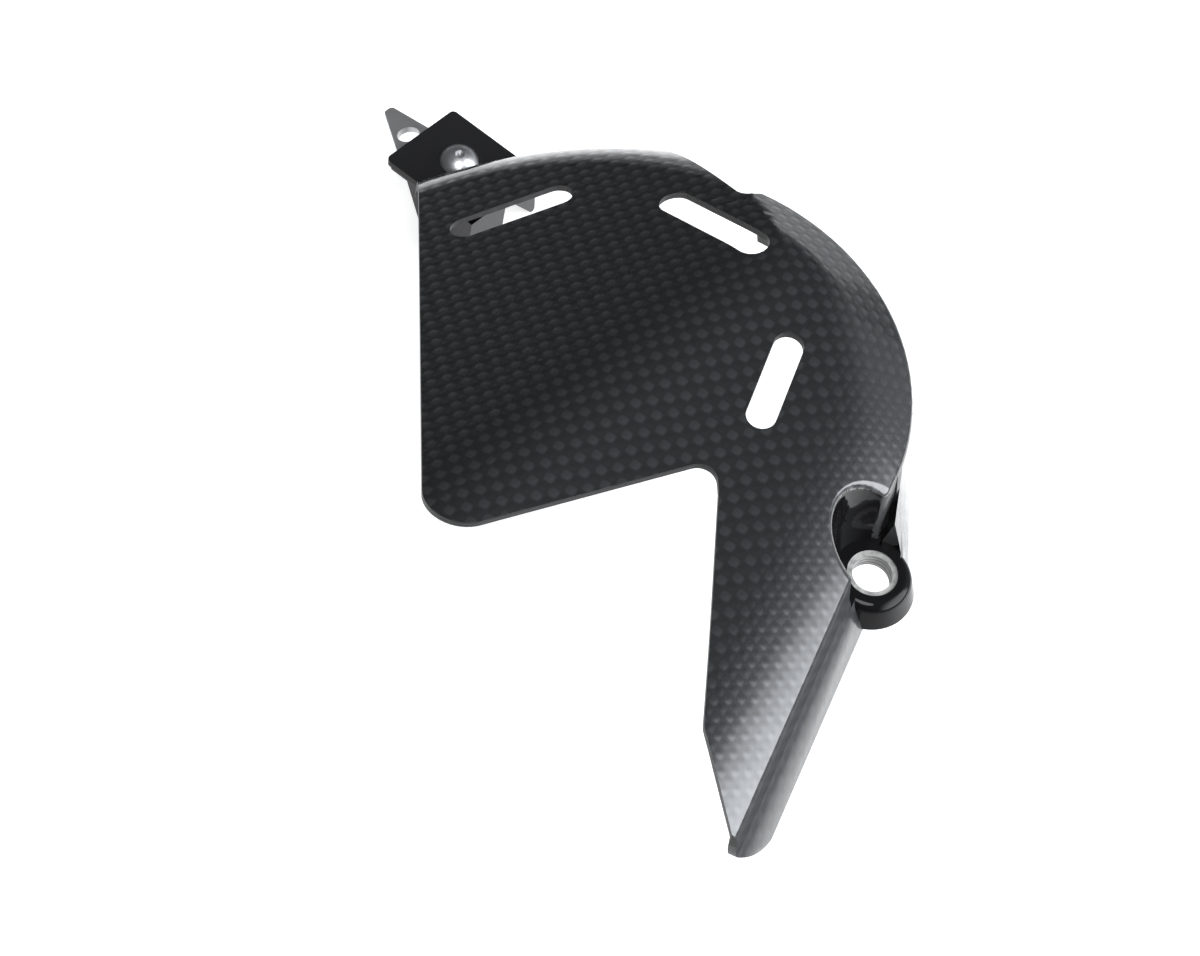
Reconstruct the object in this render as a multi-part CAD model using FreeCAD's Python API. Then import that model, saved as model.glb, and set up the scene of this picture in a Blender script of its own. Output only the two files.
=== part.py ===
import math
import os

import FreeCAD
import Part

# Frame: origin on the bolt axis under the floor of the bolt eye, Z out of the face, X to the flank, in mm
V = FreeCAD.Vector
UP = V(0, 0, 1)
FAR = 140.0

# Laminate, and the level of its foot, where it meets the engine case
LAMINATE = 1.4
FOOT = -1.8

# Main face, level with the foot, and the shaft it is round about
FACE_HEIGHT = 23.5
SHAFT = V(-36.4, 29.0, 0)

# Rear panel, folded down from the main face about a soft ridge
PANEL_TILT = 30.8
PANEL_AZIMUTH = 133.5
RIDGE_DISTANCE = 49.0
RIDGE_RADIUS = 32.0

# Rolled rim of the rear panel: part of a disc that lies in the panel
RIM_RADIUS = 52.3
RIM_ALONG_RIDGE = -24.2
RIM_DOWN_PANEL = 26.3
RIM_ROLL_RADIUS = 17.0
RIM_DEPTH = 12.0

# Flank: shoulder, bevel and wall, swept round the shaft and straight on along the tail
TAIL_AZIMUTH = -22.7
CREASE_RADIUS = 28.8
SHOULDER_RADIUS = 19.0
BEVEL_ANGLE = 35.4
BEVEL_WIDTH = 13.6
EDGE_RADIUS = 2.0
WALL_DRAFT = 9.5
TAIL_DRAFT = 5.0
LIP_HEIGHT = 3.8
LIP_ANGLE = 57.0
LIP_RADIUS = 8.0
TAIL_END = 72.5
TAIL_END_RADIUS = 13.0

# Arched gap between the rolled rim and the flank, seen along the bolt
GAP_APEX = (-22.0, 65.4)
GAP_LEFT = (-34.0, 88.0)
GAP_END = (-64.0, 104.0)
GAP_RIGHT = (-8.0, 72.6)
GAP_RADIUS = 2.5
GAP_LEFT_RADIUS = 12.0

# Bolt eye and its recess in the flank
EYE_HEIGHT = 3.2
EYE_TOP_RADIUS = 6.5
EYE_FOOT_RADIUS = 8.0
EYE_EDGE_RADIUS = 2.0
EYE_CAVITY_RADIUS = 5.2
BOLT_HOLE_RADIUS = 3.4
SPOT_RADIUS = 4.3
SPOT_DEPTH = 0.25
RECESS_DRAFT = 11.0
RECESS_EDGE_RADIUS = 2.2

# Flared web between the eye and the wall: top, outer foot and inner foot, seen along the bolt, at its two ends
WEB_LOW_END = ((2.5, 3.0), (7.2, 3.0), (0.0, 3.0))
WEB_HIGH_END = ((4.9, 18.0), (8.0, 18.0), (3.0, 18.0))
WEB_DROP = 15.5

# Trim line of the open sides, seen along the bolt: point and corner radius
TRIM_CORNERS = (
    ((-76.0, -9.6), 7.0),
    ((-29.0, 8.1), 3.0),
    ((-28.7, 2.0), 0.0),
    ((-31.5, -38.9), 4.0),
    ((-22.0, -66.0), 0.0),
)

# Slots: centres of the two end arcs, and the width
SLOTS = (
    ((-68.0, 69.1), (-52.5, 74.4), 5.6),
    ((-33.0, 66.6), (-21.8, 52.2), 5.7),
    ((-16.6, 30.4), (-21.5, 16.7), 5.1),
)

# Riveting lug at the foot of the rim, set out from the place on the rim where its roll starts
LUG_ON_RIM = 52.1
LUG_DROP = 13.2
LUG_LEFT_OUT = V(-13.77, 13.1, 0)
LUG_TIP_OUT = V(-1.57, 25.2, 0)
LUG_AZIMUTH = -38.7
LUG_LENGTH = 24.0
LUG_CORNER_RADIUS = 1.0

# Bracket: sheet, plate length, side flange, inner leg and bent tab
SHEET = 1.2
PLATE_LENGTH = 20.0
PLATE_MARGIN = 0.4
FLANGE_START = 4.1
FLANGE_DROP = 11.0
FLANGE_RAKE = 4.6
LEG_SLOT_START = 9.0
LEG_SLOT_TOP = 1.5
LEG_DROP = 13.5
LEG_END = 18.0
TAB_BEND = 20.0
TAB_START = 3.0
TAB_END = 11.8
TAB_REACH = 11.6
TAB_TIP_WIDTH = 1.9
TAB_TIP_RADIUS = 0.8
TAB_HOLE_ALONG = 8.2
TAB_HOLE_OUT = 3.0
TAB_HOLE_RADIUS = 2.1

# Rivet
RIVET_OUT = V(-0.27, 13.9, 0)
RIVET_HEAD_RADIUS = 3.6
RIVET_HEAD_HEIGHT = 2.0
RIVET_SHANK_RADIUS = 1.6
RIVET_CLEARANCE = 0.05
RIVET_TAIL_RADIUS = 2.4
RIVET_TAIL_HEIGHT = 1.6
RIVET_PIN_RADIUS = 0.9
RIVET_PIN_DEPTH = 0.8


def direction(azimuth, tilt=90.0):
    a = math.radians(azimuth)
    t = math.radians(tilt)
    return V(math.sin(t) * math.cos(a), math.sin(t) * math.sin(a), math.cos(t))


def rim_centre():
    """Centre of the rear panel's disc."""
    fold = direction(PANEL_AZIMUTH) * RIDGE_DISTANCE + UP * FACE_HEIGHT
    along_ridge = direction(PANEL_AZIMUTH - 90) * RIM_ALONG_RIDGE
    return fold + along_ridge + direction(PANEL_AZIMUTH, PANEL_TILT + 90) * RIM_DOWN_PANEL


def on_rim(turn):
    """Point where the rim's roll starts, at a turn in degrees from the line of the ridge."""
    a = math.radians(turn)
    ridge = direction(PANEL_AZIMUTH - 90)
    down_panel = direction(PANEL_AZIMUTH, PANEL_TILT + 90)
    return rim_centre() + (ridge * math.cos(a) + down_panel * math.sin(a)) * RIM_RADIUS


LUG_START = on_rim(LUG_ON_RIM)
LUG_TOP = LUG_START.z - LUG_DROP
LUG_LEFT = LUG_START - UP * LUG_START.z + LUG_LEFT_OUT
LUG_TIP = LUG_START - UP * LUG_START.z + LUG_TIP_OUT
RIVET = LUG_START - UP * LUG_START.z + RIVET_OUT


def tangent_arc(before, corner, after, radius):
    """Arc that rounds a corner between two straight lines, with its two ends."""
    to_before = (before - corner).normalize()
    to_after = (after - corner).normalize()
    half = to_before.getAngle(to_after) / 2
    reach = radius / math.tan(half)
    start = corner + to_before * reach
    end = corner + to_after * reach
    middle = corner + (to_before + to_after).normalize() * (radius / math.sin(half) - radius)
    return Part.Arc(start, middle, end).toShape(), start, end


def rounded_face(corners):
    """Flat face through (point, radius) corners, rounded where the radius is not zero."""
    count = len(corners)
    pieces = []
    for i, (point, radius) in enumerate(corners):
        if radius > 0:
            arc, start, end = tangent_arc(corners[i - 1][0], point, corners[(i + 1) % count][0], radius)
            pieces.append((start, arc, end))
        else:
            pieces.append((point, None, point))
    edges = []
    for i, (start, arc, end) in enumerate(pieces):
        if arc is not None:
            edges.append(arc)
        following = pieces[(i + 1) % count][0]
        if end.distanceToPoint(following) > 1e-6:
            edges.append(Part.makeLine(end, following))
    return Part.Face(Part.Wire(edges))


def face_block(depth):
    """Everything below the main face and the rear panel, lowered by depth square to both."""
    outward = direction(PANEL_AZIMUTH)
    ridge = direction(PANEL_AZIMUTH - 90)
    tilt = math.radians(PANEL_TILT)
    corner = RIDGE_DISTANCE - depth * math.tan(tilt / 2)
    top = FACE_HEIGHT - depth

    def at(w, z):
        return outward * w + UP * z - ridge * FAR

    return rounded_face((
        (at(corner - FAR, top), 0),
        (at(corner, top), RIDGE_RADIUS - depth),
        (at(corner + FAR, top - FAR * math.tan(tilt)), 0),
        (at(corner + FAR, -FAR), 0),
        (at(corner - FAR, -FAR), 0),
    )).extrude(ridge * (2 * FAR))


def behind_shaft():
    """Block on the rear side of the upright plane through the shaft where the flank starts."""
    along = direction(TAIL_AZIMUTH + 90)
    rear = direction(TAIL_AZIMUTH + 180)
    start = SHAFT - along * FAR - UP * FAR
    return rounded_face((
        (start, 0),
        (start + along * (2 * FAR), 0),
        (start + along * (2 * FAR) + rear * FAR, 0),
        (start + rear * FAR, 0),
    )).extrude(UP * (2 * FAR))


def panel_disc(depth):
    """Rear panel as a disc with a rolled rim, taken in by depth."""
    ridge = direction(PANEL_AZIMUTH - 90)
    normal = direction(PANEL_AZIMUTH, PANEL_TILT)
    centre = rim_centre()
    roll = RIM_ROLL_RADIUS - depth
    end = math.acos(1 - RIM_DEPTH / RIM_ROLL_RADIUS)
    skirt = 0.0 if depth == 0 else LAMINATE

    def at(r, n):
        return centre + ridge * r + normal * n

    def on_roll(angle):
        return at(RIM_RADIUS + roll * math.sin(angle), roll * math.cos(angle) - RIM_ROLL_RADIUS)

    foot = on_roll(end)
    low = foot + ridge * (skirt * math.cos(end)) - normal * (skirt * math.sin(end) + skirt)
    edges = [
        Part.makeLine(at(0, -depth), on_roll(0)),
        Part.Arc(on_roll(0), on_roll(end / 2), foot).toShape(),
    ]
    if skirt > 0:
        edges.append(Part.makeLine(foot, low))
    edges.append(Part.makeLine(edges[-1].Vertexes[-1].Point, at(0, -3 * RIM_DEPTH)))
    edges.append(Part.makeLine(at(0, -3 * RIM_DEPTH), at(0, -depth)))
    return Part.Face(Part.Wire(edges)).revolve(centre, normal, 360).common(behind_shaft())


def inset(point, before, after, depth):
    """Corner of a falling section moved in by depth, square to the slopes before and after it."""
    first = V(-math.sin(before), 0, -math.cos(before))
    second = V(-math.sin(after), 0, -math.cos(after))
    return point + (first + second) * (depth / (1 + first.dot(second)))


def flank_body(depth):
    """Flank taken in by depth: plain wall round the shaft, wall with a flared lip along the tail."""
    bevel = math.radians(BEVEL_ANGLE)
    steep = math.radians(90 - WALL_DRAFT)
    tail_wall = math.radians(90 - TAIL_DRAFT)
    lip = math.radians(LIP_ANGLE)
    bottom = FOOT if depth == 0 else FOOT - LAMINATE

    crease = V(CREASE_RADIUS, 0, FACE_HEIGHT)
    edge = crease + V(BEVEL_WIDTH, 0, -BEVEL_WIDTH * math.tan(bevel))
    bend = V(edge.x + (edge.z - LIP_HEIGHT) / math.tan(tail_wall), 0, LIP_HEIGHT)
    shoulder = (inset(crease, 0, bevel, depth), SHOULDER_RADIUS - depth)

    def turned(corners):
        foot, slope = corners[-1][0], (steep, lip)[len(corners) > 2]
        end = V(foot.x + (foot.z - bottom) / math.tan(slope), 0, bottom)
        points = [(V(0, 0, bottom), 0), (V(0, 0, FACE_HEIGHT - depth), 0)] + corners + [(end, 0)]
        placed = FreeCAD.Placement(SHAFT, FreeCAD.Rotation(UP, TAIL_AZIMUTH))
        return rounded_face([(placed.multVec(point), radius) for point, radius in points])

    plain = turned([shoulder, (inset(edge, bevel, steep, depth), EDGE_RADIUS - depth)])
    lipped = turned([
        shoulder,
        (inset(edge, bevel, tail_wall, depth), EDGE_RADIUS - depth),
        (inset(bend, tail_wall, lip, depth), LIP_RADIUS + depth),
    ])
    tail = direction(TAIL_AZIMUTH - 90) * (TAIL_END + LAMINATE)
    return plain.revolve(SHAFT, UP, 90).fuse(lipped.extrude(tail))


def tail_end_cutter():
    """Rounds the free end of the tail, seen square to its wall."""
    out = direction(TAIL_AZIMUTH)
    along = direction(TAIL_AZIMUTH - 90)

    def at(m, z):
        return SHAFT + along * m + UP * z

    return rounded_face((
        (at(TAIL_END - 3 * TAIL_END_RADIUS, FOOT - LAMINATE / 4), 0),
        (at(TAIL_END, FOOT - LAMINATE / 4), TAIL_END_RADIUS),
        (at(TAIL_END, FAR), 0),
        (at(TAIL_END + FAR, FAR), 0),
        (at(TAIL_END + FAR, -FAR), 0),
        (at(TAIL_END - 3 * TAIL_END_RADIUS, -FAR), 0),
    )).extrude(out * FAR)


def recess(extra, floor):
    """Drafted round pocket over the bolt eye, grown by extra, from floor upward."""
    slope = math.tan(math.radians(RECESS_DRAFT))
    low = EYE_TOP_RADIUS + extra - (EYE_HEIGHT - floor) * slope
    return Part.makeCone(low, low + 2 * FACE_HEIGHT * slope, 2 * FACE_HEIGHT, V(0, 0, floor))


def eye_boss():
    boss = Part.makeCone(EYE_FOOT_RADIUS, EYE_TOP_RADIUS, EYE_HEIGHT - FOOT, UP * FOOT)
    rim = [e for e in boss.Edges if e.BoundBox.ZMin > EYE_HEIGHT - 0.01]
    return boss.makeFillet(EYE_EDGE_RADIUS, rim)


def eye_web():
    ends = []
    for top, outer, inner in (WEB_LOW_END, WEB_HIGH_END):
        corners = [V(top[0], top[1], FACE_HEIGHT - WEB_DROP), V(outer[0], outer[1], FOOT), V(inner[0], inner[1], FOOT)]
        ends.append(Part.makePolygon(corners + corners[:1]))
    return Part.makeLoft(ends, True, True)


def on_recess_wall(edge):
    """True for an edge that runs along the rim of the recess, above the eye."""
    if edge.Degenerated:
        return False
    slope = math.tan(math.radians(RECESS_DRAFT))
    for point in edge.discretize(5):
        radius = EYE_TOP_RADIUS + (point.z - EYE_HEIGHT) * slope
        if point.z < EYE_HEIGHT + 0.5 or abs(math.hypot(point.x, point.y) - radius) > 0.01:
            return False
    return True


def trim_block():
    """Upright block that keeps what lies inside the trim line."""
    corners = [(V(x, y, -FAR), radius) for (x, y), radius in TRIM_CORNERS]
    corners.append((V(FAR, TRIM_CORNERS[-1][0][1], -FAR), 0))
    corners.append((V(FAR, FAR, -FAR), 0))
    corners.append((V(TRIM_CORNERS[0][0][0], FAR, -FAR), 0))
    return rounded_face(corners).extrude(UP * (2 * FAR))


def gap_cutter():
    corners = [
        (V(GAP_APEX[0], GAP_APEX[1], -FAR), GAP_RADIUS),
        (V(GAP_LEFT[0], GAP_LEFT[1], -FAR), GAP_LEFT_RADIUS),
        (V(GAP_END[0], GAP_END[1], -FAR), 0),
        (V(GAP_END[0], FAR, -FAR), 0),
        (V(FAR, FAR, -FAR), 0),
        (V(GAP_RIGHT[0], GAP_RIGHT[1], -FAR), 0),
    ]
    return rounded_face(corners).extrude(UP * (2 * FAR))


def slot_cutter(first, second, width):
    """Round-ended slot, cut straight through along the bolt direction."""
    a = V(first[0], first[1], -FAR)
    b = V(second[0], second[1], -FAR)
    along = (b - a).normalize() * (width / 2)
    side = UP.cross(along)
    return rounded_face((
        (a + side - along, width / 2 - 0.001),
        (b + side + along, width / 2 - 0.001),
        (b - side + along, width / 2 - 0.001),
        (a - side - along, width / 2 - 0.001),
    )).extrude(UP * (2 * FAR))


def rivet_hole():
    radius = RIVET_SHANK_RADIUS + RIVET_CLEARANCE
    return Part.makeCylinder(radius, 20, RIVET + UP * (LUG_TOP - 10))


def lug_plate():
    """Flat lug that the bracket is riveted to, standing out from the foot of the rim."""
    along = direction(LUG_AZIMUTH) * LUG_LENGTH
    level = UP * (LUG_TOP - LAMINATE)
    return rounded_face((
        (LUG_LEFT + level, LUG_CORNER_RADIUS),
        (LUG_TIP + level, LUG_CORNER_RADIUS),
        (LUG_TIP + along + level, 0),
        (LUG_LEFT + along + level, 0),
    )).extrude(UP * LAMINATE)


def cover_shell():
    outer = panel_disc(0).fuse(flank_body(0)).common(face_block(0))
    hollow = panel_disc(LAMINATE).fuse(flank_body(LAMINATE)).common(face_block(LAMINATE))
    boss = eye_boss()
    shell = outer.fuse(boss).cut(recess(0, EYE_HEIGHT)).removeSplitter()
    rim = [edge for edge in shell.Edges if on_recess_wall(edge)]
    shell = shell.makeFillet(RECESS_EDGE_RADIUS, rim).fuse(eye_web().cut(recess(0, EYE_HEIGHT)))
    shell = shell.cut(hollow.cut(recess(LAMINATE, 0)).cut(boss))
    shell = shell.common(trim_block()).cut(gap_cutter()).cut(tail_end_cutter())
    shell = shell.fuse(lug_plate().cut(hollow))
    below = Part.makeBox(2 * FAR, 2 * FAR, FAR, V(-FAR, -FAR, LUG_TOP - LAMINATE - FAR))
    shell = shell.cut(below)
    shell = shell.cut(Part.makeCylinder(EYE_CAVITY_RADIUS, 1 - FOOT, UP * (FOOT - 1)))
    shell = shell.cut(Part.makeCylinder(BOLT_HOLE_RADIUS, FAR, V(0, 0, -1)))
    shell = shell.cut(Part.makeCylinder(SPOT_RADIUS, FAR, V(0, 0, EYE_HEIGHT - SPOT_DEPTH)))
    shell = shell.cut(rivet_hole())
    for first, second, width in SLOTS:
        shell = shell.cut(slot_cutter(first, second, width))
    return shell.removeSplitter()


def mounting_bracket():
    """Folded sheet: plate below the lug, side flange, inner leg with a notch, bent tab with a hole."""
    along = direction(LUG_AZIMUTH)
    across = (LUG_TIP - LUG_LEFT).normalize()
    out = UP.cross(across)
    width = (LUG_TIP - LUG_LEFT).Length
    top = UP * (LUG_TOP - LAMINATE)
    left = LUG_LEFT + top + (along + across) * PLATE_MARGIN
    tip = LUG_TIP + top + (along - across) * PLATE_MARGIN

    def plate():
        return rounded_face((
            (left, LUG_CORNER_RADIUS),
            (tip, LUG_CORNER_RADIUS),
            (tip + along * PLATE_LENGTH, 0),
            (left + along * PLATE_LENGTH, 0),
        )).extrude(UP * -SHEET)

    def side_flange():
        start = left + along * FLANGE_START
        end = left + along * PLATE_LENGTH
        drop = UP * -FLANGE_DROP
        inward = UP.cross(along).normalize() * SHEET
        return rounded_face((
            (start, 0),
            (end, 0),
            (end + drop, 0),
            (start + along * FLANGE_RAKE + drop, 1.0),
        )).extrude(inward)

    def inner_leg():
        corner = left + along * PLATE_LENGTH
        inward = across.cross(UP).normalize() * -SHEET

        def at(b, drop):
            return corner + across * b - UP * drop

        return rounded_face((
            (at(0, 0), 0),
            (at(width - PLATE_MARGIN * 2, 0), 0),
            (at(LEG_END, LEG_DROP), 0.6),
            (at(LEG_SLOT_START + 0.7, LEG_SLOT_TOP), 0),
            (at(LEG_SLOT_START, LEG_SLOT_TOP), 0),
            (at(LEG_SLOT_START, FLANGE_DROP), 0.6),
            (at(0, FLANGE_DROP), 0),
        )).extrude(inward)

    def bent_tab():
        slope = out * math.cos(math.radians(TAB_BEND)) - UP * math.sin(math.radians(TAB_BEND))
        normal = across.cross(slope).normalize()
        if normal.z < 0:
            normal = normal * -1

        def at(b, reach):
            return left + across * (b - PLATE_MARGIN) + slope * reach

        tab = rounded_face((
            (at(TAB_START, 0), 0),
            (at(TAB_END, 0), 0),
            (at(TAB_END, TAB_REACH), TAB_TIP_RADIUS),
            (at(TAB_END - TAB_TIP_WIDTH, TAB_REACH), TAB_TIP_RADIUS),
        )).extrude(normal * -SHEET)
        centre = at(TAB_HOLE_ALONG, TAB_HOLE_OUT)
        hole = Part.makeCylinder(TAB_HOLE_RADIUS, 4 * SHEET, centre + normal * (2 * SHEET), normal * -1)
        return tab.cut(hole)

    body = plate().fuse([side_flange(), inner_leg(), bent_tab()])
    return body.cut(rivet_hole()).removeSplitter()


def bracket_rivet():
    """Dome head with the sunk end of its pin, shank, and set tail below the bracket plate, all turned."""
    seat = LUG_TOP
    foot = LUG_TOP - LAMINATE - SHEET
    rise = RIVET_HEAD_HEIGHT
    dome = (RIVET_HEAD_RADIUS ** 2 + rise ** 2) / (2 * rise)
    half = math.asin(RIVET_HEAD_RADIUS / dome) / 2

    def at(r, z):
        return RIVET + V(r, 0, z)

    edges = [
        Part.makeLine(at(0, seat + rise), at(0, foot - RIVET_TAIL_HEIGHT)),
        Part.makeLine(at(0, foot - RIVET_TAIL_HEIGHT), at(RIVET_TAIL_RADIUS, foot - RIVET_TAIL_HEIGHT)),
        Part.makeLine(at(RIVET_TAIL_RADIUS, foot - RIVET_TAIL_HEIGHT), at(RIVET_TAIL_RADIUS, foot)),
        Part.makeLine(at(RIVET_TAIL_RADIUS, foot), at(RIVET_SHANK_RADIUS, foot)),
        Part.makeLine(at(RIVET_SHANK_RADIUS, foot), at(RIVET_SHANK_RADIUS, seat)),
        Part.makeLine(at(RIVET_SHANK_RADIUS, seat), at(RIVET_HEAD_RADIUS, seat)),
        Part.Arc(
            at(RIVET_HEAD_RADIUS, seat),
            at(dome * math.sin(half), seat + rise - dome * (1 - math.cos(half))),
            at(0, seat + rise),
        ).toShape(),
    ]
    body = Part.Face(Part.Wire(edges)).revolve(RIVET, UP, 360)
    pin_hole = Part.makeCylinder(RIVET_PIN_RADIUS, rise, RIVET + UP * (seat + rise - RIVET_PIN_DEPTH))
    return body.cut(pin_hole)


def main():
    os.makedirs("parts", exist_ok=True)
    cover_shell().exportStep("parts/cover_shell.step")
    mounting_bracket().exportStep("parts/mounting_bracket.step")
    bracket_rivet().exportStep("parts/bracket_rivet.step")


main()
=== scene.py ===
import math

import bmesh
import bpy
from mathutils import Matrix, Vector


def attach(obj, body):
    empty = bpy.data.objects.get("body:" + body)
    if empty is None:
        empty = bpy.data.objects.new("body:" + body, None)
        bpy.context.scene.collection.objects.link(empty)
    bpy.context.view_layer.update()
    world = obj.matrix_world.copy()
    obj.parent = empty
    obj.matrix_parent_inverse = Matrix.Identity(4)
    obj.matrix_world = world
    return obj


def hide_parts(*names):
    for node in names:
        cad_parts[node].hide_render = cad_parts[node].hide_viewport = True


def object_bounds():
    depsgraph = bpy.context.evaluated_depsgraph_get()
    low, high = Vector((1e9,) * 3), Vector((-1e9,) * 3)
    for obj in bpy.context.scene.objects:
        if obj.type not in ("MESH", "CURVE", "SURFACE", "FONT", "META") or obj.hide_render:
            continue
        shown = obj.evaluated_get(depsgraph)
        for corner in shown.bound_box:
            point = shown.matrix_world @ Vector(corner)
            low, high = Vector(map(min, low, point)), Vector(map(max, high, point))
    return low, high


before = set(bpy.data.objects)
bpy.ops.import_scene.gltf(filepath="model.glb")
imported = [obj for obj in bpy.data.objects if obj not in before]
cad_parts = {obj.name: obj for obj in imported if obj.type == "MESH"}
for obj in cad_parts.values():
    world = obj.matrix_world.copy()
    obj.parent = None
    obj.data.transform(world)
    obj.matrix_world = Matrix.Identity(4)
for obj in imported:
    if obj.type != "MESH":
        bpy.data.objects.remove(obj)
CAD_BOX = [list(corner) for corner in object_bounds()]

bl_info = {
    "name": "Woven carbon sprocket cover",
    "version": (1, 0, 0),
    "blender": (4, 5, 0),
    "location": "3D View > Sidebar > Sprocket Cover",
    "description": "Dresses the sprocket cover, its bracket and its rivet, and sets the studio round it",
    "category": "Object",
}

MM = 0.001
BODY = "root"

# The cover's own lines, in mm, which the cloth follows
SHAFT = Vector((-36.4, 29.0, 0))
FACE_HEIGHT = 23.5
RIDGE_DISTANCE = 49.0
PANEL_AZIMUTH = 133.5
PANEL_TILT = 30.8
RIM_RADIUS = 52.3
RIM_ROLL_RADIUS = 17.0
RIM_ALONG_RIDGE = -24.2
RIM_DOWN_PANEL = 26.3
TAIL_AZIMUTH = -22.7
FLANK_END_AZIMUTH = 67.3
CREASE_RADIUS = 28.8
BEVEL_ANGLE = 35.4
BEVEL_WIDTH = 13.6
EDGE_REACH = CREASE_RADIUS + BEVEL_WIDTH
EYE_TOP = 3.2
EYE_RADIUS = 8.1
RING_RADIUS = 4.35
RECESS_RADIUS = 6.5
RECESS_DRAFT = 11.0
LUG_TOP = -24.3
LUG_LEFT = Vector((-81.7, 96.2, 0))
TAB_AZIMUTH = 134.8

# The bevel as a long curve: where it starts, its turn at the edge, and its swell by the eye and at the tip
SHOULDER_RADIUS = 19.0
SHOULDER_START = 22.74
SHOULDER_END = 33.74
BEVEL_TURN = 39.5
BEVEL_SWELL = 1.5
TIP_SWELL = 1.0
TIP_SWELL_START = 54.0
TIP_SWELL_END = 68.0
BEVEL_FADE = 40.0
BEVEL_MATCH = 5.0

# The steep wall of the tail, where the lacquer has run thin
WALL_START = 18.0
WALL_SLACK = 0.5
LIP_TOP = 2.4
LIP_DROP = 2.2
THIN_LACQUER = 0.08

# Side of the web that looks into the recess, where the resin is painted lighter as the sheen of a rounded
# edge: its bounds in X, Y and Z
WEB_SIDE_LOW = (0.0, 4.0, 3.6)
WEB_SIDE_HIGH = (4.0, 14.0, 14.0)

# Smooth shading stops at edges sharper than this, in degrees
SHARP_ANGLE = 38.0


def linear(colour):
    """Linear RGBA from an sRGB hex string."""
    parts = [int(colour[i:i + 2], 16) / 255 for i in (1, 3, 5)]
    return [c / 12.92 if c <= 0.04045 else ((c + 0.055) / 1.055) ** 2.4 for c in parts] + [1.0]


def direction(azimuth, tilt=90.0):
    """Unit vector at an azimuth in the XY plane, tilted from +Z."""
    a = math.radians(azimuth)
    t = math.radians(tilt)
    return Vector((math.sin(t) * math.cos(a), math.sin(t) * math.sin(a), math.cos(t)))


def add_node(tree, kind, inputs=None, **settings):
    """Adds a node, sets its properties, and sets or links its inputs by name or number."""
    node = tree.nodes.new(kind)
    for name, value in settings.items():
        setattr(node, name, value)
    for name, value in (inputs or {}).items():
        if isinstance(value, bpy.types.NodeSocket):
            tree.links.new(value, node.inputs[name])
        else:
            node.inputs[name].default_value = value
    return node


def new_material(name):
    """Empty node material with its output node."""
    material = bpy.data.materials.new(name)
    material.use_nodes = True
    material.node_tree.nodes.clear()
    output = add_node(material.node_tree, "ShaderNodeOutputMaterial")
    return material, material.node_tree, output


# Cloth map


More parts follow.
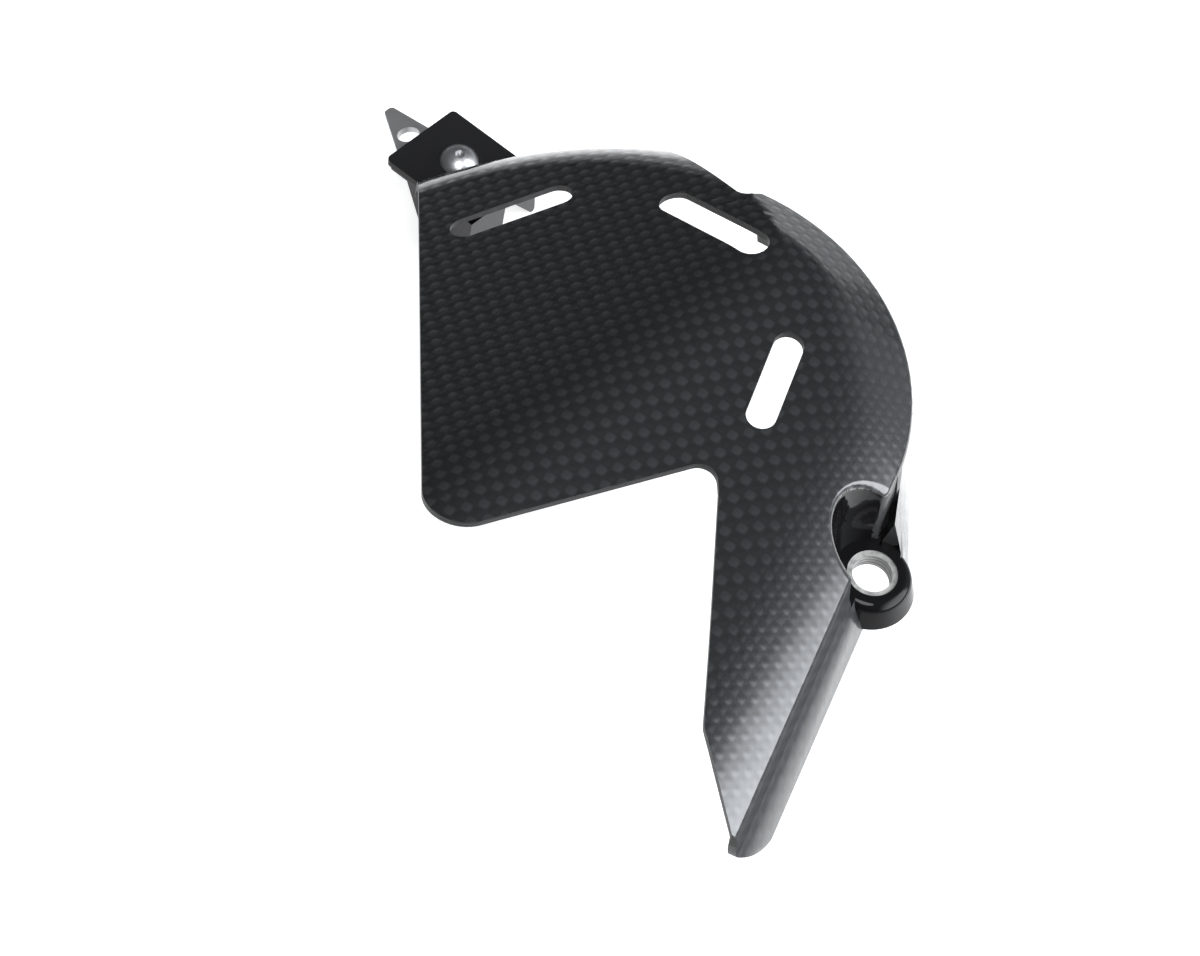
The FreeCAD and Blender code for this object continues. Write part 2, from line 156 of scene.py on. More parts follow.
class ClothMap:
    """Lays the cover's surface out flat, so that the tows run over the bends as cut cloth does."""

    def __init__(self):
        self.outward = direction(PANEL_AZIMUTH)
        self.ridge = direction(PANEL_AZIMUTH - 90)
        self.down_panel = direction(PANEL_AZIMUTH, PANEL_TILT + 90)
        self.panel_normal = direction(PANEL_AZIMUTH, PANEL_TILT)
        self.out = direction(TAIL_AZIMUTH)
        self.along = direction(TAIL_AZIMUTH - 90)
        self.bevel = math.radians(BEVEL_ANGLE)
        self.edge_height = FACE_HEIGHT - BEVEL_WIDTH * math.tan(self.bevel)
        fold = self.outward * RIDGE_DISTANCE + Vector((0, 0, FACE_HEIGHT))
        self.centre = fold + self.ridge * RIM_ALONG_RIDGE + self.down_panel * RIM_DOWN_PANEL

    def on_panel(self, point):
        rel = point - self.centre
        e = rel.dot(self.ridge)
        d = rel.dot(self.down_panel)
        r = math.hypot(e, d)
        if r > RIM_RADIUS:
            turn = math.atan2(r - RIM_RADIUS, RIM_ROLL_RADIUS + rel.dot(self.panel_normal))
            stretch = (RIM_RADIUS + RIM_ROLL_RADIUS * max(turn, 0)) / r
            e *= stretch
            d *= stretch
        return self.outward * (RIDGE_DISTANCE + RIM_DOWN_PANEL + d) + self.ridge * (RIM_ALONG_RIDGE + e)

    def on_flank(self, point, reach, heading, along):
        over = max(reach - CREASE_RADIUS, 0)
        length = reach + min(over, BEVEL_WIDTH) * (1 / math.cos(self.bevel) - 1)
        if over > BEVEL_WIDTH * 0.97:
            length = CREASE_RADIUS + BEVEL_WIDTH / math.cos(self.bevel)
            length += math.hypot(over - BEVEL_WIDTH, max(self.edge_height - point.z, 0))
        return SHAFT + heading * length + along

    def across_flank(self, point):
        """Reach from the shaft, heading and run along the tail of a point of the flank, or None off it."""
        rel = Vector((point.x, point.y, 0)) - SHAFT
        beside = rel.dot(self.along)
        if beside > 0 and rel.dot(self.out) > 0:
            return rel.dot(self.out), self.out, beside
        azimuth = math.degrees(math.atan2(rel.y, rel.x))
        if TAIL_AZIMUTH <= azimuth <= FLANK_END_AZIMUTH:
            return rel.length, rel.normalized(), 0.0
        return None

    def place(self, point):
        """Cloth position in mm of a point of the surface in mm."""
        flank = self.across_flank(point)
        if flank and (flank[2] > 0 or flank[0] > CREASE_RADIUS):
            reach, heading, beside = flank
            return self.on_flank(point, reach, heading, self.along * beside)
        if point.dot(self.outward) > RIDGE_DISTANCE:
            return self.on_panel(point)
        return Vector((point.x, point.y, 0))

    def beside_recess(self, point, normal):
        """True on the side of the web that looks into the recess, where the resin is painted lighter as
        sheen.
        """
        on_web = all(low < at < high for low, at, high in zip(WEB_SIDE_LOW, point, WEB_SIDE_HIGH))
        return on_web and normal.z < 0.3 and normal.y < -0.2

    def lacquer(self, point):
        """Share of full lacquer at a point: thin on the steep wall of the tail, full again at its lip."""
        flank = self.across_flank(point)
        if not flank or flank[2] < WALL_START or flank[0] < EDGE_REACH - WALL_SLACK:
            return 1.0
        return THIN_LACQUER + (1 - THIN_LACQUER) * min(max((LIP_TOP - point.z) / LIP_DROP, 0), 1)

    def sheen(self, point):
        """Share of the bevel's full sheen at a point, where both tows shine alike."""
        flank = self.across_flank(point)
        if not flank:
            return 0.0
        share = (flank[0] - SHOULDER_START) / (EDGE_REACH - SHOULDER_START)
        turned = math.degrees(self.out.angle(flank[1])) / BEVEL_FADE
        return min(max(share, 0), 1) * max(1 - turned, 0)

    def bevel_normal(self, point, normal):
        """Normal of the long curve at a point of the shoulder or bevel, or None where it does not run."""
        flank = self.across_flank(point)
        if not flank or not SHOULDER_START < flank[0] < EDGE_REACH:
            return None
        reach, heading, beside = flank
        angle = self.bevel
        if reach < SHOULDER_END:
            angle = math.asin(min((reach - SHOULDER_START) / SHOULDER_RADIUS, 1))
        own = heading * math.sin(angle) + Vector((0, 0, math.cos(angle)))
        if normal.angle(own) > math.radians(BEVEL_MATCH):
            return None
        to_tip = min(max((beside - TIP_SWELL_START) / (TIP_SWELL_END - TIP_SWELL_START), 0), 1)
        swell = BEVEL_SWELL + (TIP_SWELL - BEVEL_SWELL) * to_tip
        share = (reach - SHOULDER_START) / (EDGE_REACH - SHOULDER_START)
        bent = math.radians(BEVEL_TURN) * share ** swell
        turned = math.degrees(self.out.angle(heading)) / BEVEL_FADE
        bent += (angle - bent) * min(turned, 1)
        return heading * math.sin(bent) + Vector((0, 0, math.cos(bent)))


# Meshes


def smooth_copy(node, name):
    """Copy of a CAD node's mesh with its seams closed and its curved faces shaded smooth."""
    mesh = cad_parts[node].data.copy()
    mesh.name = name
    mesh.materials.clear()
    shape = bmesh.new()
    shape.from_mesh(mesh)
    bmesh.ops.remove_doubles(shape, verts=shape.verts, dist=1e-6)
    bmesh.ops.dissolve_degenerate(shape, edges=shape.edges, dist=1e-7)
    shape.to_mesh(mesh)
    shape.free()
    if mesh.has_custom_normals:
        mesh.attributes.remove(mesh.attributes["custom_normal"])
    for face in mesh.polygons:
        face.use_smooth = True
    mesh.set_sharp_from_angle(angle=math.radians(SHARP_ANGLE))
    piece = bpy.data.objects.new(name, mesh)
    bpy.context.scene.collection.objects.link(piece)
    even = piece.modifiers.new("Even shading", "WEIGHTED_NORMAL")
    even.keep_sharp = True
    return piece


def finish_modifiers(piece):
    """Turns a piece and its modifiers into one plain mesh."""
    evaluated = piece.evaluated_get(bpy.context.evaluated_depsgraph_get())
    mesh = bpy.data.meshes.new_from_object(evaluated)
    mesh.name = piece.name
    piece.modifiers.clear()
    piece.data = mesh


def stands_for(piece, node):
    """Attaches a finished piece to the body and hides its CAD node."""
    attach(piece, BODY)
    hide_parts(node)


# Materials


def cloth_place(tree, cloth):
    """Place on the cloth, counted in tows along the warp and the weft."""
    uv = add_node(tree, "ShaderNodeUVMap", uv_map="Cloth").outputs[0]
    return add_node(tree, "ShaderNodeMapping", {
        "Vector": uv,
        "Rotation": (0, 0, -cloth.angle),
        "Scale": (1 / (cloth.pitch / MM),) * 3,
    }).outputs[0]


def woven_carbon(cloth):
    """Plain-weave carbon under clear lacquer, mirror gloss on top; painted highlight on the tows: warp crowns
    painted lighter, weft tows darker, as light falls on them.
    """
    material, tree, output = new_material("Lacquered plain-weave carbon")
    lacquer = add_node(tree, "ShaderNodeAttribute", attribute_name="Lacquer").outputs["Fac"]
    turned = cloth_place(tree, cloth)
    split = add_node(tree, "ShaderNodeSeparateXYZ", {0: turned})

    def math_node(operation, a, b=0.0, c=0.0):
        return add_node(tree, "ShaderNodeMath", {0: a, 1: b, 2: c}, operation=operation).outputs[0]

    u, v = split.outputs[0], split.outputs[1]
    cells = math_node("ADD", math_node("FLOOR", u), math_node("FLOOR", v))
    weft = math_node("FLOORED_MODULO", cells, 2.0)
    fu = math_node("SUBTRACT", math_node("FRACT", u), 0.5)
    fv = math_node("SUBTRACT", math_node("FRACT", v), 0.5)
    along = add_node(tree, "ShaderNodeMix", {0: weft, 2: fu, 3: fv}).outputs[0]
    across = add_node(tree, "ShaderNodeMix", {0: weft, 2: fv, 3: fu}).outputs[0]
    crown = math_node("COSINE", math_node("MULTIPLY", along, math.pi))
    round_tow = math_node("COSINE", math_node("MULTIPLY", across, math.pi))
    swell = math_node("MULTIPLY", crown, round_tow)
    height = math_node("MULTIPLY", swell, swell)

    fibres = add_node(tree, "ShaderNodeTexNoise", {
        "Vector": turned, "Scale": 9.0, "Detail": 2.0,
    })
    relief = math_node("MULTIPLY_ADD", fibres.outputs[0], 0.10, height)
    tow_bump = add_node(tree, "ShaderNodeBump", {
        "Strength": 1.0, "Distance": cloth.relief, "Height": relief,
    })
    # Painted highlight and shade: warp crowns take the lighter colour, weft tows the darker, as light falls
    # on them; evened out where the bevel shines.
    side = math_node("MULTIPLY_ADD", weft, -2.0, 1.0)
    painted_highlight_share = add_node(tree, "ShaderNodeMapRange", {
        "Value": math_node("MULTIPLY", swell, side), "From Min": -0.15, "From Max": 0.55,
    }, interpolation_type="SMOOTHSTEP")
    sheen = add_node(tree, "ShaderNodeAttribute", attribute_name="Sheen").outputs["Fac"]
    evened = math_node("MULTIPLY", sheen, cloth.evening)
    shown = add_node(tree, "ShaderNodeMix", {0: evened, 2: painted_highlight_share.outputs[0], 3: 0.4})
    lit_warp_colour = linear(cloth.lit_warp_colour)
    shaded_weft_colour = linear(cloth.shaded_weft_colour)
    tow_colour_with_painted_sheen = add_node(tree, "ShaderNodeMix", {
        0: shown.outputs[0], 6: shaded_weft_colour, 7: lit_warp_colour,
    }, data_type="RGBA")
    waviness = add_node(tree, "ShaderNodeTexNoise", {
        "Vector": turned, "Scale": 0.35, "Detail": 1.0,
    })
    print_through = math_node("MULTIPLY_ADD", height, 0.06, waviness.outputs[0])
    lacquer_bump = add_node(tree, "ShaderNodeBump", {
        "Strength": 1.0, "Distance": cloth.lacquer_wave, "Height": print_through,
    })
    turn = math_node("MULTIPLY", weft, 0.25)
    tangent = add_node(tree, "ShaderNodeTangent", direction_type="UV_MAP", uv_map="Cloth")
    shader = add_node(tree, "ShaderNodeBsdfPrincipled", {
        "Base Color": tow_colour_with_painted_sheen.outputs[2],
        "Metallic": math_node("MULTIPLY", lacquer, cloth.metal_share),
        "Specular IOR Level": 0.0,
        "Roughness": 0.36,
        "Anisotropic": 0.6,
        "Anisotropic Rotation": turn,
        "Tangent": tangent.outputs[0],
        "Normal": tow_bump.outputs[0],
        "Coat Weight": lacquer,
        "Coat Roughness": 0.03,
        "Coat IOR": 1.55,
        "Coat Normal": lacquer_bump.outputs[0],
    })
    tree.links.new(shader.outputs[0], output.inputs[0])
    return material


def black_resin(name, colour, roughness):
    """Black filled resin, moulded glossy: near-black with small sink marks in its gloss."""
    material, tree, output = new_material(name)
    place = add_node(tree, "ShaderNodeTexCoord").outputs["Object"]
    sink = add_node(tree, "ShaderNodeTexNoise", {"Vector": place, "Scale": 0.35 / MM, "Detail": 3.0})
    bump = add_node(tree, "ShaderNodeBump", {
        "Strength": 0.5, "Distance": 0.05 * MM, "Height": sink.outputs[0],
    })
    shader = add_node(tree, "ShaderNodeBsdfPrincipled", {
        "Base Color": linear(colour),
        "Roughness": roughness,
        "IOR": 1.5,
        "Specular IOR Level": 0.15,
        "Normal": bump.outputs[0],
    })
    tree.links.new(shader.outputs[0], output.inputs[0])
    return material


def cut_laminate(name, pale, dark, roughness):
    """Laminate sawn through: layers of ply that show as fine lines, dull where the saw went."""
    material, tree, output = new_material(name)
    place = add_node(tree, "ShaderNodeTexCoord").outputs["Object"]
    plies = add_node(tree, "ShaderNodeTexWave", {
        "Vector": place, "Scale": 0.35 / MM, "Distortion": 3.0, "Detail": 2.0, "Detail Scale": 2.0,
    }, bands_direction="Z")
    grain = add_node(tree, "ShaderNodeTexNoise", {"Vector": place, "Scale": 1.2 / MM, "Detail": 4.0})
    mixed = add_node(tree, "ShaderNodeMix", {0: 0.5, 2: plies.outputs[1], 3: grain.outputs[0]}).outputs[0]
    colour = add_node(tree, "ShaderNodeMix", {0: mixed, 6: linear(dark), 7: linear(pale)}, data_type="RGBA")
    bump = add_node(tree, "ShaderNodeBump", {"Strength": 0.7, "Distance": 0.06 * MM, "Height": mixed})
    shader = add_node(tree, "ShaderNodeBsdfPrincipled", {
        "Base Color": colour.outputs[2],
        "Roughness": roughness,
        "Specular IOR Level": 0.2,
        "Normal": bump.outputs[0],
    })
    tree.links.new(shader.outputs[0], output.inputs[0])
    return material


def inner_carbon(cloth):
    """Bag side of the laminate: the same weave, dull and resin-starved, with peel-ply grain."""
    material, tree, output = new_material("Bag-side carbon")
    turned = cloth_place(tree, cloth)
    checks = add_node(tree, "ShaderNodeTexChecker", {
        "Vector": turned, "Scale": 1.0,
        "Color1": linear("#232324"), "Color2": linear("#2e2e30"),
    })
    grain = add_node(tree, "ShaderNodeTexNoise", {"Vector": turned, "Scale": 3.5, "Detail": 4.0})
    bump = add_node(tree, "ShaderNodeBump", {
        "Strength": 0.8, "Distance": 0.12 * MM, "Height": grain.outputs[0],
    })
    shader = add_node(tree, "ShaderNodeBsdfPrincipled", {
        "Base Color": checks.outputs[0],
        "Roughness": 0.55,
        "Normal": bump.outputs[0],
    })
    tree.links.new(shader.outputs[0], output.inputs[0])
    return material


def folded_steel(name, dark, pale, smooth, rough):
    """Mill-finish steel sheet, cut and folded: rolled streaks along its length, satin grey."""
    material, tree, output = new_material(name)
    place = add_node(tree, "ShaderNodeTexCoord").outputs["Object"]
    rolled = add_node(tree, "ShaderNodeMapping", {
        "Vector": place, "Rotation": (0, 0, math.radians(-45)), "Scale": (0.12 / MM, 2.0 / MM, 0.5 / MM),
    })
    streaks = add_node(tree, "ShaderNodeTexNoise", {"Vector": rolled.outputs[0], "Scale": 1.0, "Detail": 5.0})
    blotch = add_node(tree, "ShaderNodeTexNoise", {"Vector": place, "Scale": 0.18 / MM, "Detail": 3.0})
    mixed = add_node(tree, "ShaderNodeMix", {0: 0.45, 2: streaks.outputs[0], 3: blotch.outputs[0]}).outputs[0]
    colour = add_node(tree, "ShaderNodeMix", {
        0: mixed, 6: linear(dark), 7: linear(pale),
    }, data_type="RGBA")
    dull = add_node(tree, "ShaderNodeMapRange", {"Value": mixed, "To Min": smooth, "To Max": rough})
    bump = add_node(tree, "ShaderNodeBump", {
        "Strength": 0.4, "Distance": 0.02 * MM, "Height": streaks.outputs[0],
    })
    shader = add_node(tree, "ShaderNodeBsdfPrincipled", {
        "Base Color": colour.outputs[2],
        "Metallic": 1.0,
        "Roughness": dull.outputs[0],
        "Normal": bump.outputs[0],
    })
    tree.links.new(shader.outputs[0], output.inputs[0])
    return material


def pressed_aluminium():
    """Aluminium rivet, pressed bright: soft mirror with fine scuffs."""
    material, tree, output = new_material("Pressed aluminium")
    place = add_node(tree, "ShaderNodeTexCoord").outputs["Object"]
    scuffs = add_node(tree, "ShaderNodeTexNoise", {"Vector": place, "Scale": 1.6 / MM, "Detail": 4.0})
    dull = add_node(tree, "ShaderNodeMapRange", {"Value": scuffs.outputs[0], "To Min": 0.26, "To Max": 0.46})
    bump = add_node(tree, "ShaderNodeBump", {
        "Strength": 0.4, "Distance": 0.03 * MM, "Height": scuffs.outputs[0],
    })
    shader = add_node(tree, "ShaderNodeBsdfPrincipled", {
        "Base Color": linear("#bcbcbe"),
        "Metallic": 1.0,
        "Roughness": dull.outputs[0],
        "Normal": bump.outputs[0],
    })
    tree.links.new(shader.outputs[0], output.inputs[0])
    return material


# Settings


class ClothSettings(bpy.types.PropertyGroup):
    """Sizes and colours of the carbon cloth."""

    pitch: bpy.props.FloatProperty(
        name="Tow pitch", description="Distance from one tow to the next",
        default=2.0 * MM, min=0.5 * MM, max=6 * MM, unit="LENGTH")
    angle: bpy.props.FloatProperty(
        name="Warp angle", description="Turn of the warp from the X axis",
        default=math.radians(58.5), unit="ROTATION")
    relief: bpy.props.FloatProperty(
        name="Tow relief", description="Height of the tow crowns under the lacquer",
        default=0.055 * MM, unit="LENGTH")
    lacquer_wave: bpy.props.FloatProperty(
        name="Lacquer wave", description="Height of the slow waves in the lacquer",
        default=0.03 * MM, unit="LENGTH")
    metal_share: bpy.props.FloatProperty(
        name="Metal share", description="Share of the tows' light that is mirrored, not scattered",
        default=0.72, min=0.0, max=1.0)
    evening: bpy.props.FloatProperty(
        name="Evening", description="Share by which warp and weft look alike in the bevel's sheen",
        default=0.75, min=0.0, max=1.0)
    # Painted highlight and shade of the tows: the warp colour is the lit one, the weft colour the shaded one.
    lit_warp_colour: bpy.props.StringProperty(
        name="Warp colour", description="Colour of the warp tows", default="#434446")
    shaded_weft_colour: bpy.props.StringProperty(
        name="Weft colour", description="Colour of the weft tows", default="#2a2b2c")


class StageSettings(bpy.types.PropertyGroup):
    """Camera, light and floor."""

    camera_azimuth: bpy.props.FloatProperty(
        name="Camera azimuth", description="Side that the camera looks from",
        default=math.radians(-101.63), unit="ROTATION")
    camera_elevation: bpy.props.FloatProperty(
        name="Camera elevation", description="Height of the camera above the face",
        default=math.radians(59.07), unit="ROTATION")
    camera_roll: bpy.props.FloatProperty(
        name="Camera roll", description="Turn of the picture about its middle",
        default=math.radians(13.50), unit="ROTATION")
    camera_distance: bpy.props.FloatProperty(
        name="Camera distance", description="From the camera to the point it aims at",
        default=585.1 * MM, unit="LENGTH")
    camera_aim: bpy.props.FloatVectorProperty(
        name="Camera aim", description="Point in the middle of the picture",
        default=(-45.0 * MM, 16.88 * MM, 0.0), subtype="TRANSLATION")
    lens: bpy.props.FloatProperty(
        name="Lens", description="Focal length on a 36 mm wide sensor", default=105.0, unit="CAMERA")
    floor_colour: bpy.props.StringProperty(
        name="Floor colour", description="Colour of the floor", default="#cccccc")
    floor_size: bpy.props.FloatProperty(
        name="Floor size", description="Length of the floor's sides", default=8.0, unit="LENGTH")
    surround_colour: bpy.props.StringProperty(
        name="Surround colour", description="Colour of the floor further out", default="#b0b0b0")
    # Painted fall-off of light: the floor is painted white out to these distances, greyer beyond, and darker
    # still far out, as the lamps' light fades.
    lit_patch_middle: bpy.props.FloatVectorProperty(
        name="Paper middle", description="Middle of the white part of the floor",
        default=(-38 * MM, 48 * MM, 0.0), subtype="TRANSLATION")
    lit_patch_squeeze: bpy.props.FloatProperty(
        name="Paper squeeze", description="Width of the white part of the floor over its depth", default=1.4)
    lit_patch_start: bpy.props.FloatProperty(
        name="Paper start", description="Distance up to which the floor is white",
        default=160 * MM, unit="LENGTH")
    lit_patch_end: bpy.props.FloatProperty(
        name="Paper end", description="Distance from which the floor has its outer colour",
        default=260 * MM, unit="LENGTH")
    far_colour: bpy.props.StringProperty(
        name="Far colour", description="Colour of the floor far out", default="#787878")
    far_start: bpy.props.FloatProperty(
        name="Far start", description="Distance at which the floor starts to darken",
        default=480 * MM, unit="LENGTH")
    far_end: bpy.props.FloatProperty(
        name="Far end", description="Distance from which the floor has its far colour",
        default=640 * MM, unit="LENGTH")
    floor_glow: bpy.props.FloatProperty(
        name="Floor glow", description="Light added to the floor as it is seen", default=0.7)
    room_low: bpy.props.FloatProperty(
        name="Room at the floor", description="Brightness of the room just above the floor", default=0.05)
    room_high: bpy.props.FloatProperty(
        name="Room overhead", description="Brightness of the room straight above", default=0.27)
    wall_level: bpy.props.FloatProperty(
        name="Wall level", description="Brightness of the pale wall at the right", default=0.6)
    window_level: bpy.props.FloatProperty(
        name="Window level", description="Brightness of the soft window at the right", default=8.0)
    window_full: bpy.props.FloatProperty(
        name="Window full", description="Side-on share of a direction up to which the window is fully bright",
        default=0.06)
    window_gone: bpy.props.FloatProperty(
        name="Window gone", description="Side-on share of a direction from which the window is gone",
        default=0.22)
    window_side: bpy.props.FloatVectorProperty(
        name="Window side", description="Sideways share of a direction where the window starts and is full",
        default=(0.35, 0.75), size=2)
    window_rise: bpy.props.FloatVectorProperty(
        name="Window rise", description="Upward share of a direction where the window starts and is full",
        default=(0.0, 0.15), size=2)
    wall_side: bpy.props.FloatVectorProperty(
        name="Wall side", description="Sideways share of a direction where the wall starts and is full",
        default=(0.5, 0.95), size=2)
    pool_place: bpy.props.FloatVectorProperty(
        name="Pool place", description="Place of the lamp that lights the floor beside the tail",
        default=(140 * MM, -35 * MM, 150 * MM), subtype="TRANSLATION")
    pool_spread: bpy.props.FloatProperty(
        name="Pool spread", description="Angle of the pool lamp's cone",
        default=math.radians(60), unit="ROTATION")
    pool_size: bpy.props.FloatProperty(
        name="Pool size", description="Radius of the pool lamp", default=20 * MM, unit="LENGTH")
    pool_power: bpy.props.FloatProperty(
        name="Pool power", description="Power of the lamp that lights the floor beside the tail",
        default=7.5, unit="POWER")
    key_size: bpy.props.FloatProperty(
        name="Key size", description="Diameter of the soft lamp above the camera", default=0.5, unit="LENGTH")
    key_distance: bpy.props.FloatProperty(
        name="Key distance", description="From the soft lamp to the part", default=0.95, unit="LENGTH")
    key_turn: bpy.props.FloatProperty(
        name="Key turn", description="Turn of the soft lamp from the camera's side",
        default=math.radians(8), unit="ROTATION")
    key_tilt: bpy.props.FloatProperty(
        name="Key tilt", description="Tilt of the soft lamp from straight above",
        default=math.radians(22), unit="ROTATION")
    key_power: bpy.props.FloatProperty(
        name="Key power", description="Power of the soft lamp above the camera", default=6.0, unit="POWER")


# Operators


class SPROCKETCOVER_OT_cover(bpy.types.Operator):
    """Dress the carbon cover with cloth, resin and cut edges"""

    bl_idname = "sprocket_cover.cover"
    bl_label = "Carbon cover"

    def execute(self, context):
        cloth = context.scene.sprocket_cloth
        layout = ClothMap()
        piece = smooth_copy("cover_shell", "carbon_cover")
        mesh = piece.data
        for material in (
            woven_carbon(cloth),
            black_resin("Gloss black resin", "#0f0f10", 0.07),
            cut_laminate("Cut laminate ring", "#b4b4b2", "#505050", 0.5),
            inner_carbon(cloth),
            cut_laminate("Trimmed laminate edge", "#1f1f20", "#0d0d0e", 0.42),
            black_resin("Satin black resin", "#1e1e1f", 0.16),
            # Lighter black resin: painted sheen on the web's side into the recess.
            black_resin("Black resin painted lighter as sheen", "#343435", 0.32),
        ):
            mesh.materials.append(material)
        for face in mesh.polygons:
            face.material_index = self.finish_of(face, layout)
        uv = mesh.uv_layers.new(name="Cloth")
        flat = [layout.place(vertex.co / MM) for vertex in mesh.vertices]
        for loop in mesh.loops:
            spot = flat[loop.vertex_index]
            uv.data[loop.index].uv = (spot.x, spot.y)
        mesh.uv_layers.active = uv
        for name, share in (("Lacquer", layout.lacquer), ("Sheen", layout.sheen)):
            attribute = mesh.attributes.new(name, "FLOAT", "POINT")
            for vertex in mesh.vertices:
                attribute.data[vertex.index].value = share(vertex.co / MM)
        finish_modifiers(piece)
        self.soften_bevel(piece.data, layout)
        stands_for(piece, "cover_shell")
        return {"FINISHED"}

    def soften_bevel(self, mesh, layout):
        """Shades the bevel as one long curve from the face to the crease."""
        normals = [corner.vector.copy() for corner in mesh.corner_normals]
        for loop in mesh.loops:
            bent = layout.bevel_normal(mesh.vertices[loop.vertex_index].co / MM, normals[loop.index])
            if bent is not None:
                normals[loop.index] = bent
        mesh.normals_split_custom_set(normals)

    def finish_of(self, face, layout):
        """Number of the finish that a face of the cover has."""
        woven, resin, ring, inner, edge, lug, dull = range(7)
        spot = face.center / MM
        radius = math.hypot(spot.x, spot.y)
        if radius < RING_RADIUS and spot.z < EYE_TOP + 0.1:
            return ring
        recess = RECESS_RADIUS + (spot.z - EYE_TOP) * math.tan(math.radians(RECESS_DRAFT))
        if radius < EYE_RADIUS and spot.z < EYE_TOP + 0.1:
            return resin
        # Painted sheen: the web's side into the recess gets a lighter, rougher black resin for the light off
        # a rounded edge.
        if layout.beside_recess(spot, face.normal):
            return dull
        if spot.z > EYE_TOP and radius < recess + 0.1:
            return resin
        if spot.z < LUG_TOP + 0.02:
            return lug
        rear = spot.dot(layout.outward) > RIDGE_DISTANCE
        facing = face.normal.dot(layout.panel_normal) if rear else face.normal.z
        if facing < -0.03:
            return inner
        if abs(face.normal.z) < 0.02:
            return edge
        return woven


class SPROCKETCOVER_OT_bracket(bpy.types.Operator):
    """Dress the folded bracket in mill-finish steel"""

    bl_idname = "sprocket_cover.bracket"
    bl_label = "Folded bracket"

    def execute(self, context):
        piece = smooth_copy("mounting_bracket", "folded_bracket")
        # Dark copy: black on the plate for its own finish, and painted shade on the legs that sit under the
        # cover; pale copy on the tab that stands out.
        piece.data.materials.append(folded_steel("Folded dark steel with painted shade", "#262628", "#454547", 0.14, 0.26))
        piece.data.materials.append(folded_steel("Folded satin steel", "#b0b0b2", "#dcdcdc", 0.42, 0.6))
        out = direction(TAB_AZIMUTH)
        # Faces out past the tab's fold get the pale steel; the plate and the legs under the cover get the
        # dark steel with painted shade.
        for face in piece.data.polygons:
            face.material_index = int((face.center / MM - LUG_LEFT).dot(out) > -0.2)
        finish_modifiers(piece)
        stands_for(piece, "mounting_bracket")
        return {"FINISHED"}


class SPROCKETCOVER_OT_rivet(bpy.types.Operator):
    """Dress the dome rivet in pressed aluminium"""

    bl_idname = "sprocket_cover.rivet"
    bl_label = "Dome rivet"

    def execute(self, context):
        piece = smooth_copy("bracket_rivet", "dome_rivet")
        piece.data.materials.append(pressed_aluminium())
        finish_modifiers(piece)
        stands_for(piece, "bracket_rivet")
        return {"FINISHED"}


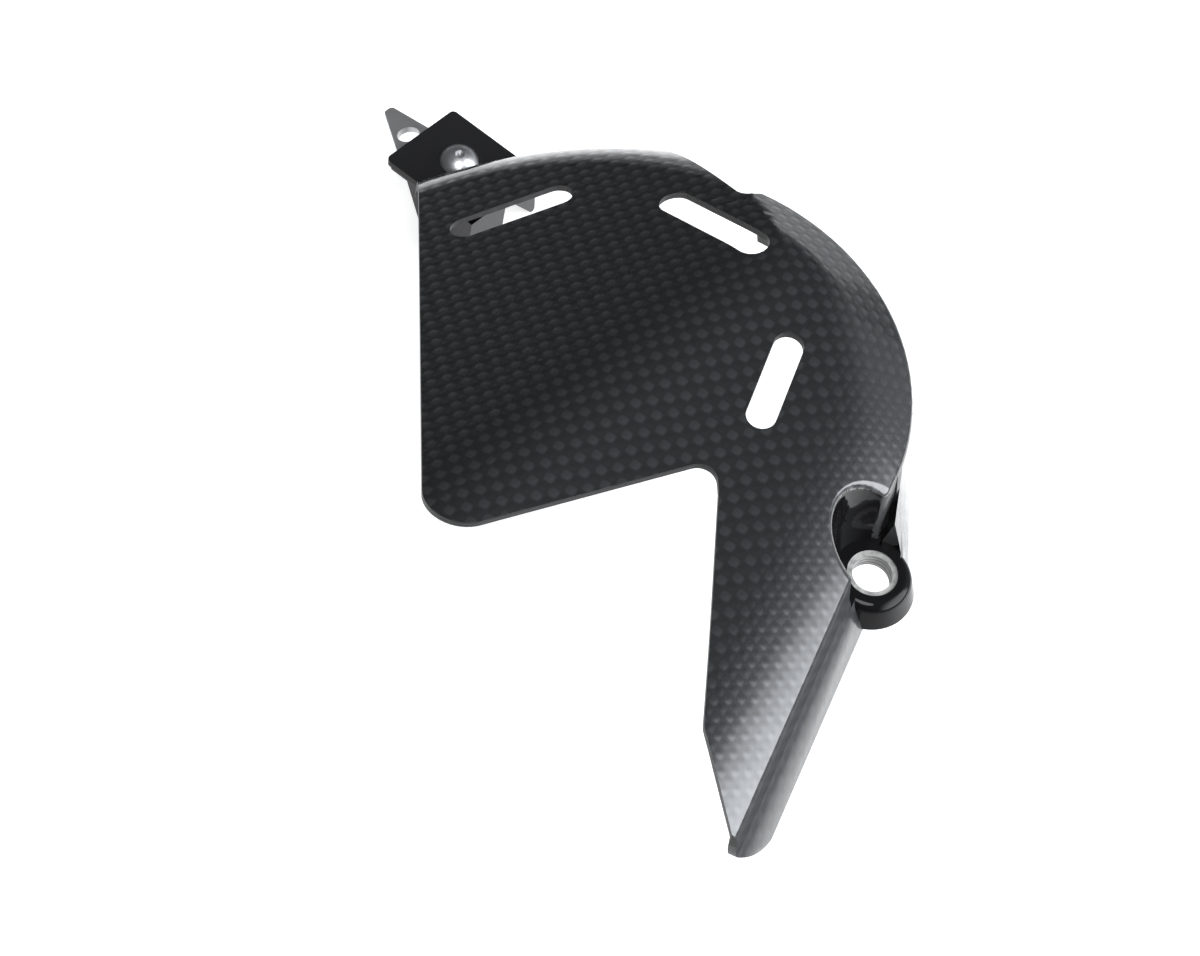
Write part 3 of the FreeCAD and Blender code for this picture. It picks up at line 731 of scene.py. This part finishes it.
class SPROCKETCOVER_OT_stage(bpy.types.Operator):
    """Set the floor, the light and the camera"""

    bl_idname = "sprocket_cover.stage"
    bl_label = "Studio"

    def execute(self, context):
        stage = context.scene.sprocket_stage
        self.floor(context, stage)
        self.room(context, stage)
        self.key(context, stage)
        self.pool(context, stage)
        self.camera(context, stage)
        context.scene.view_settings.view_transform = "Standard"
        return {"FINISHED"}

    def floor(self, context, stage):
        low = CAD_BOX[0][2] - 0.2 * MM
        half = stage.floor_size / 2
        mesh = bpy.data.meshes.new("floor")
        corners = [(-half, -half, low), (half, -half, low), (half, half, low), (-half, half, low)]
        mesh.from_pydata(corners, [], [(0, 1, 2, 3)])
        material, tree, output = new_material("Matt white floor")
        place = add_node(tree, "ShaderNodeTexCoord").outputs["Object"]
        shape = Vector((1.0, stage.lit_patch_squeeze, 1.0))
        middle = Vector(stage.lit_patch_middle) * shape
        squeezed = add_node(tree, "ShaderNodeVectorMath", {0: place, 1: shape}, operation="MULTIPLY")
        away = add_node(tree, "ShaderNodeVectorMath", {
            0: squeezed.outputs[0], 1: middle,
        }, operation="DISTANCE")
        # Painted fall-off of light: white near the part, the surround colour further out and the far colour
        # beyond.
        near = add_node(tree, "ShaderNodeMapRange", {
            "Value": away.outputs["Value"], "From Min": stage.lit_patch_end, "From Max": stage.lit_patch_start,
        }, interpolation_type="SMOOTHSTEP").outputs[0]
        far = add_node(tree, "ShaderNodeMapRange", {
            "Value": away.outputs["Value"], "From Min": stage.far_start, "From Max": stage.far_end,
        }, interpolation_type="SMOOTHSTEP").outputs[0]
        path = add_node(tree, "ShaderNodeLightPath")

        def combine(operation, a, b):
            return add_node(tree, "ShaderNodeMath", {0: a, 1: b}, operation=operation).outputs[0]

        seen = combine("MAXIMUM", path.outputs["Is Camera Ray"], path.outputs["Is Glossy Ray"])
        seen = combine("MAXIMUM", seen, path.outputs["Is Transmission Ray"])
        # The glow lights only the near patch: part of the painted fall-off of light.
        glow = combine("MULTIPLY", combine("MULTIPLY", seen, stage.floor_glow), near)
        emission = add_node(tree, "ShaderNodeEmission", {"Strength": glow})
        outer = add_node(tree, "ShaderNodeMix", {
            0: far, 6: linear(stage.surround_colour), 7: linear(stage.far_colour),
        }, data_type="RGBA")
        colour = add_node(tree, "ShaderNodeMix", {
            0: near, 6: outer.outputs[2], 7: linear(stage.floor_colour),
        }, data_type="RGBA")
        diffuse = add_node(tree, "ShaderNodeBsdfDiffuse", {"Color": colour.outputs[2]})
        both = add_node(tree, "ShaderNodeAddShader", {0: diffuse.outputs[0], 1: emission.outputs[0]})
        clear = add_node(tree, "ShaderNodeBsdfTransparent")
        below = add_node(tree, "ShaderNodeNewGeometry").outputs["Backfacing"]
        shader = add_node(tree, "ShaderNodeMixShader", {0: below, 1: both.outputs[0], 2: clear.outputs[0]})
        tree.links.new(shader.outputs[0], output.inputs[0])
        mesh.materials.append(material)
        floor = bpy.data.objects.new("floor", mesh)
        context.scene.collection.objects.link(floor)

    def room(self, context, stage):
        """Dim room above the floor with one broad soft window at the side."""
        world = bpy.data.worlds.new("Studio room")
        context.scene.world = world
        world.use_nodes = True
        tree = world.node_tree
        tree.nodes.clear()
        look = add_node(tree, "ShaderNodeTexCoord").outputs["Generated"]
        x, y, z = add_node(tree, "ShaderNodeSeparateXYZ", {0: look}).outputs

        def fade(value, start, full, level):
            return add_node(tree, "ShaderNodeMapRange", {
                "Value": value, "From Min": start, "From Max": full, "To Min": 0.0, "To Max": level,
            }, interpolation_type="SMOOTHSTEP").outputs[0]

        def combine(operation, a, b):
            return add_node(tree, "ShaderNodeMath", {0: a, 1: b}, operation=operation).outputs[0]

        window = fade(y, stage.window_gone, stage.window_full, stage.window_level)
        window = combine("MULTIPLY", window, fade(x, *stage.window_side, 1.0))
        window = combine("MULTIPLY", window, fade(z, *stage.window_rise, 1.0))
        wall = fade(x, *stage.wall_side, stage.wall_level)
        room = add_node(tree, "ShaderNodeMapRange", {
            "Value": z, "To Min": stage.room_low, "To Max": stage.room_high,
        }).outputs[0]
        level = combine("ADD", combine("ADD", window, wall), room)
        background = add_node(tree, "ShaderNodeBackground", {
            "Color": linear("#f8fbff"), "Strength": level,
        })
        add_node(tree, "ShaderNodeOutputWorld", {"Surface": background.outputs[0]})

    def key(self, context, stage):
        """Soft lamp close above the camera, so that shadows fall behind the part."""
        lamp = bpy.data.lights.new("Key lamp", "AREA")
        lamp.shape = "DISK"
        lamp.size = stage.key_size
        lamp.energy = stage.key_power
        lamp_object = bpy.data.objects.new("Key lamp", lamp)
        context.scene.collection.objects.link(lamp_object)
        aim = Vector(stage.camera_aim)
        heading = direction(math.degrees(stage.camera_azimuth + stage.key_turn), math.degrees(stage.key_tilt))
        lamp_object.location = aim + heading * stage.key_distance
        lamp_object.rotation_euler = heading.to_track_quat("Z", "Y").to_euler()

    def pool(self, context, stage):
        """Pool of light on the floor beside the tail, out of the picture, for the flared lip to mirror."""
        lamp = bpy.data.lights.new("Pool lamp", "SPOT")
        lamp.energy = stage.pool_power
        lamp.spot_size = stage.pool_spread
        lamp.spot_blend = 1.0
        lamp.shadow_soft_size = stage.pool_size
        lamp_object = bpy.data.objects.new("Pool lamp", lamp)
        context.scene.collection.objects.link(lamp_object)
        lamp_object.location = stage.pool_place

    def camera(self, context, stage):
        camera = bpy.data.cameras.new("Camera")
        camera.sensor_width = 36.0
        camera.lens = stage.lens
        camera_object = bpy.data.objects.new("Camera", camera)
        context.scene.collection.objects.link(camera_object)
        back = direction(math.degrees(stage.camera_azimuth), 90 - math.degrees(stage.camera_elevation))
        level = Vector((0, 0, 1)).cross(back).normalized()
        upright = back.cross(level)
        right = level * math.cos(stage.camera_roll) + upright * math.sin(stage.camera_roll)
        up = back.cross(right)
        turn = Matrix((right, up, back)).transposed().to_4x4()
        place = Matrix.Translation(Vector(stage.camera_aim) + back * stage.camera_distance)
        camera_object.matrix_world = place @ turn
        context.scene.camera = camera_object


class SPROCKETCOVER_PT_panel(bpy.types.Panel):
    """Sidebar list of the cover's pieces"""

    bl_idname = "SPROCKETCOVER_PT_panel"
    bl_label = "Sprocket Cover"
    bl_space_type = "VIEW_3D"
    bl_region_type = "UI"
    bl_category = "Sprocket Cover"

    def draw(self, context):
        for operator in OPERATORS:
            self.layout.operator(operator.bl_idname)
        for settings in (context.scene.sprocket_cloth, context.scene.sprocket_stage):
            box = self.layout.box()
            for name in settings.__annotations__:
                box.prop(settings, name)


OPERATORS = (
    SPROCKETCOVER_OT_cover,
    SPROCKETCOVER_OT_bracket,
    SPROCKETCOVER_OT_rivet,
    SPROCKETCOVER_OT_stage,
)
CLASSES = (ClothSettings, StageSettings) + OPERATORS + (SPROCKETCOVER_PT_panel,)


def register():
    for item in CLASSES:
        bpy.utils.register_class(item)
    bpy.types.Scene.sprocket_cloth = bpy.props.PointerProperty(type=ClothSettings)
    bpy.types.Scene.sprocket_stage = bpy.props.PointerProperty(type=StageSettings)


def unregister():
    del bpy.types.Scene.sprocket_stage
    del bpy.types.Scene.sprocket_cloth
    for item in reversed(CLASSES):
        bpy.utils.unregister_class(item)


def main():
    register()
    bpy.ops.sprocket_cover.cover()
    bpy.ops.sprocket_cover.bracket()
    bpy.ops.sprocket_cover.rivet()
    bpy.ops.sprocket_cover.stage()


if __name__ == "__main__":
    main()
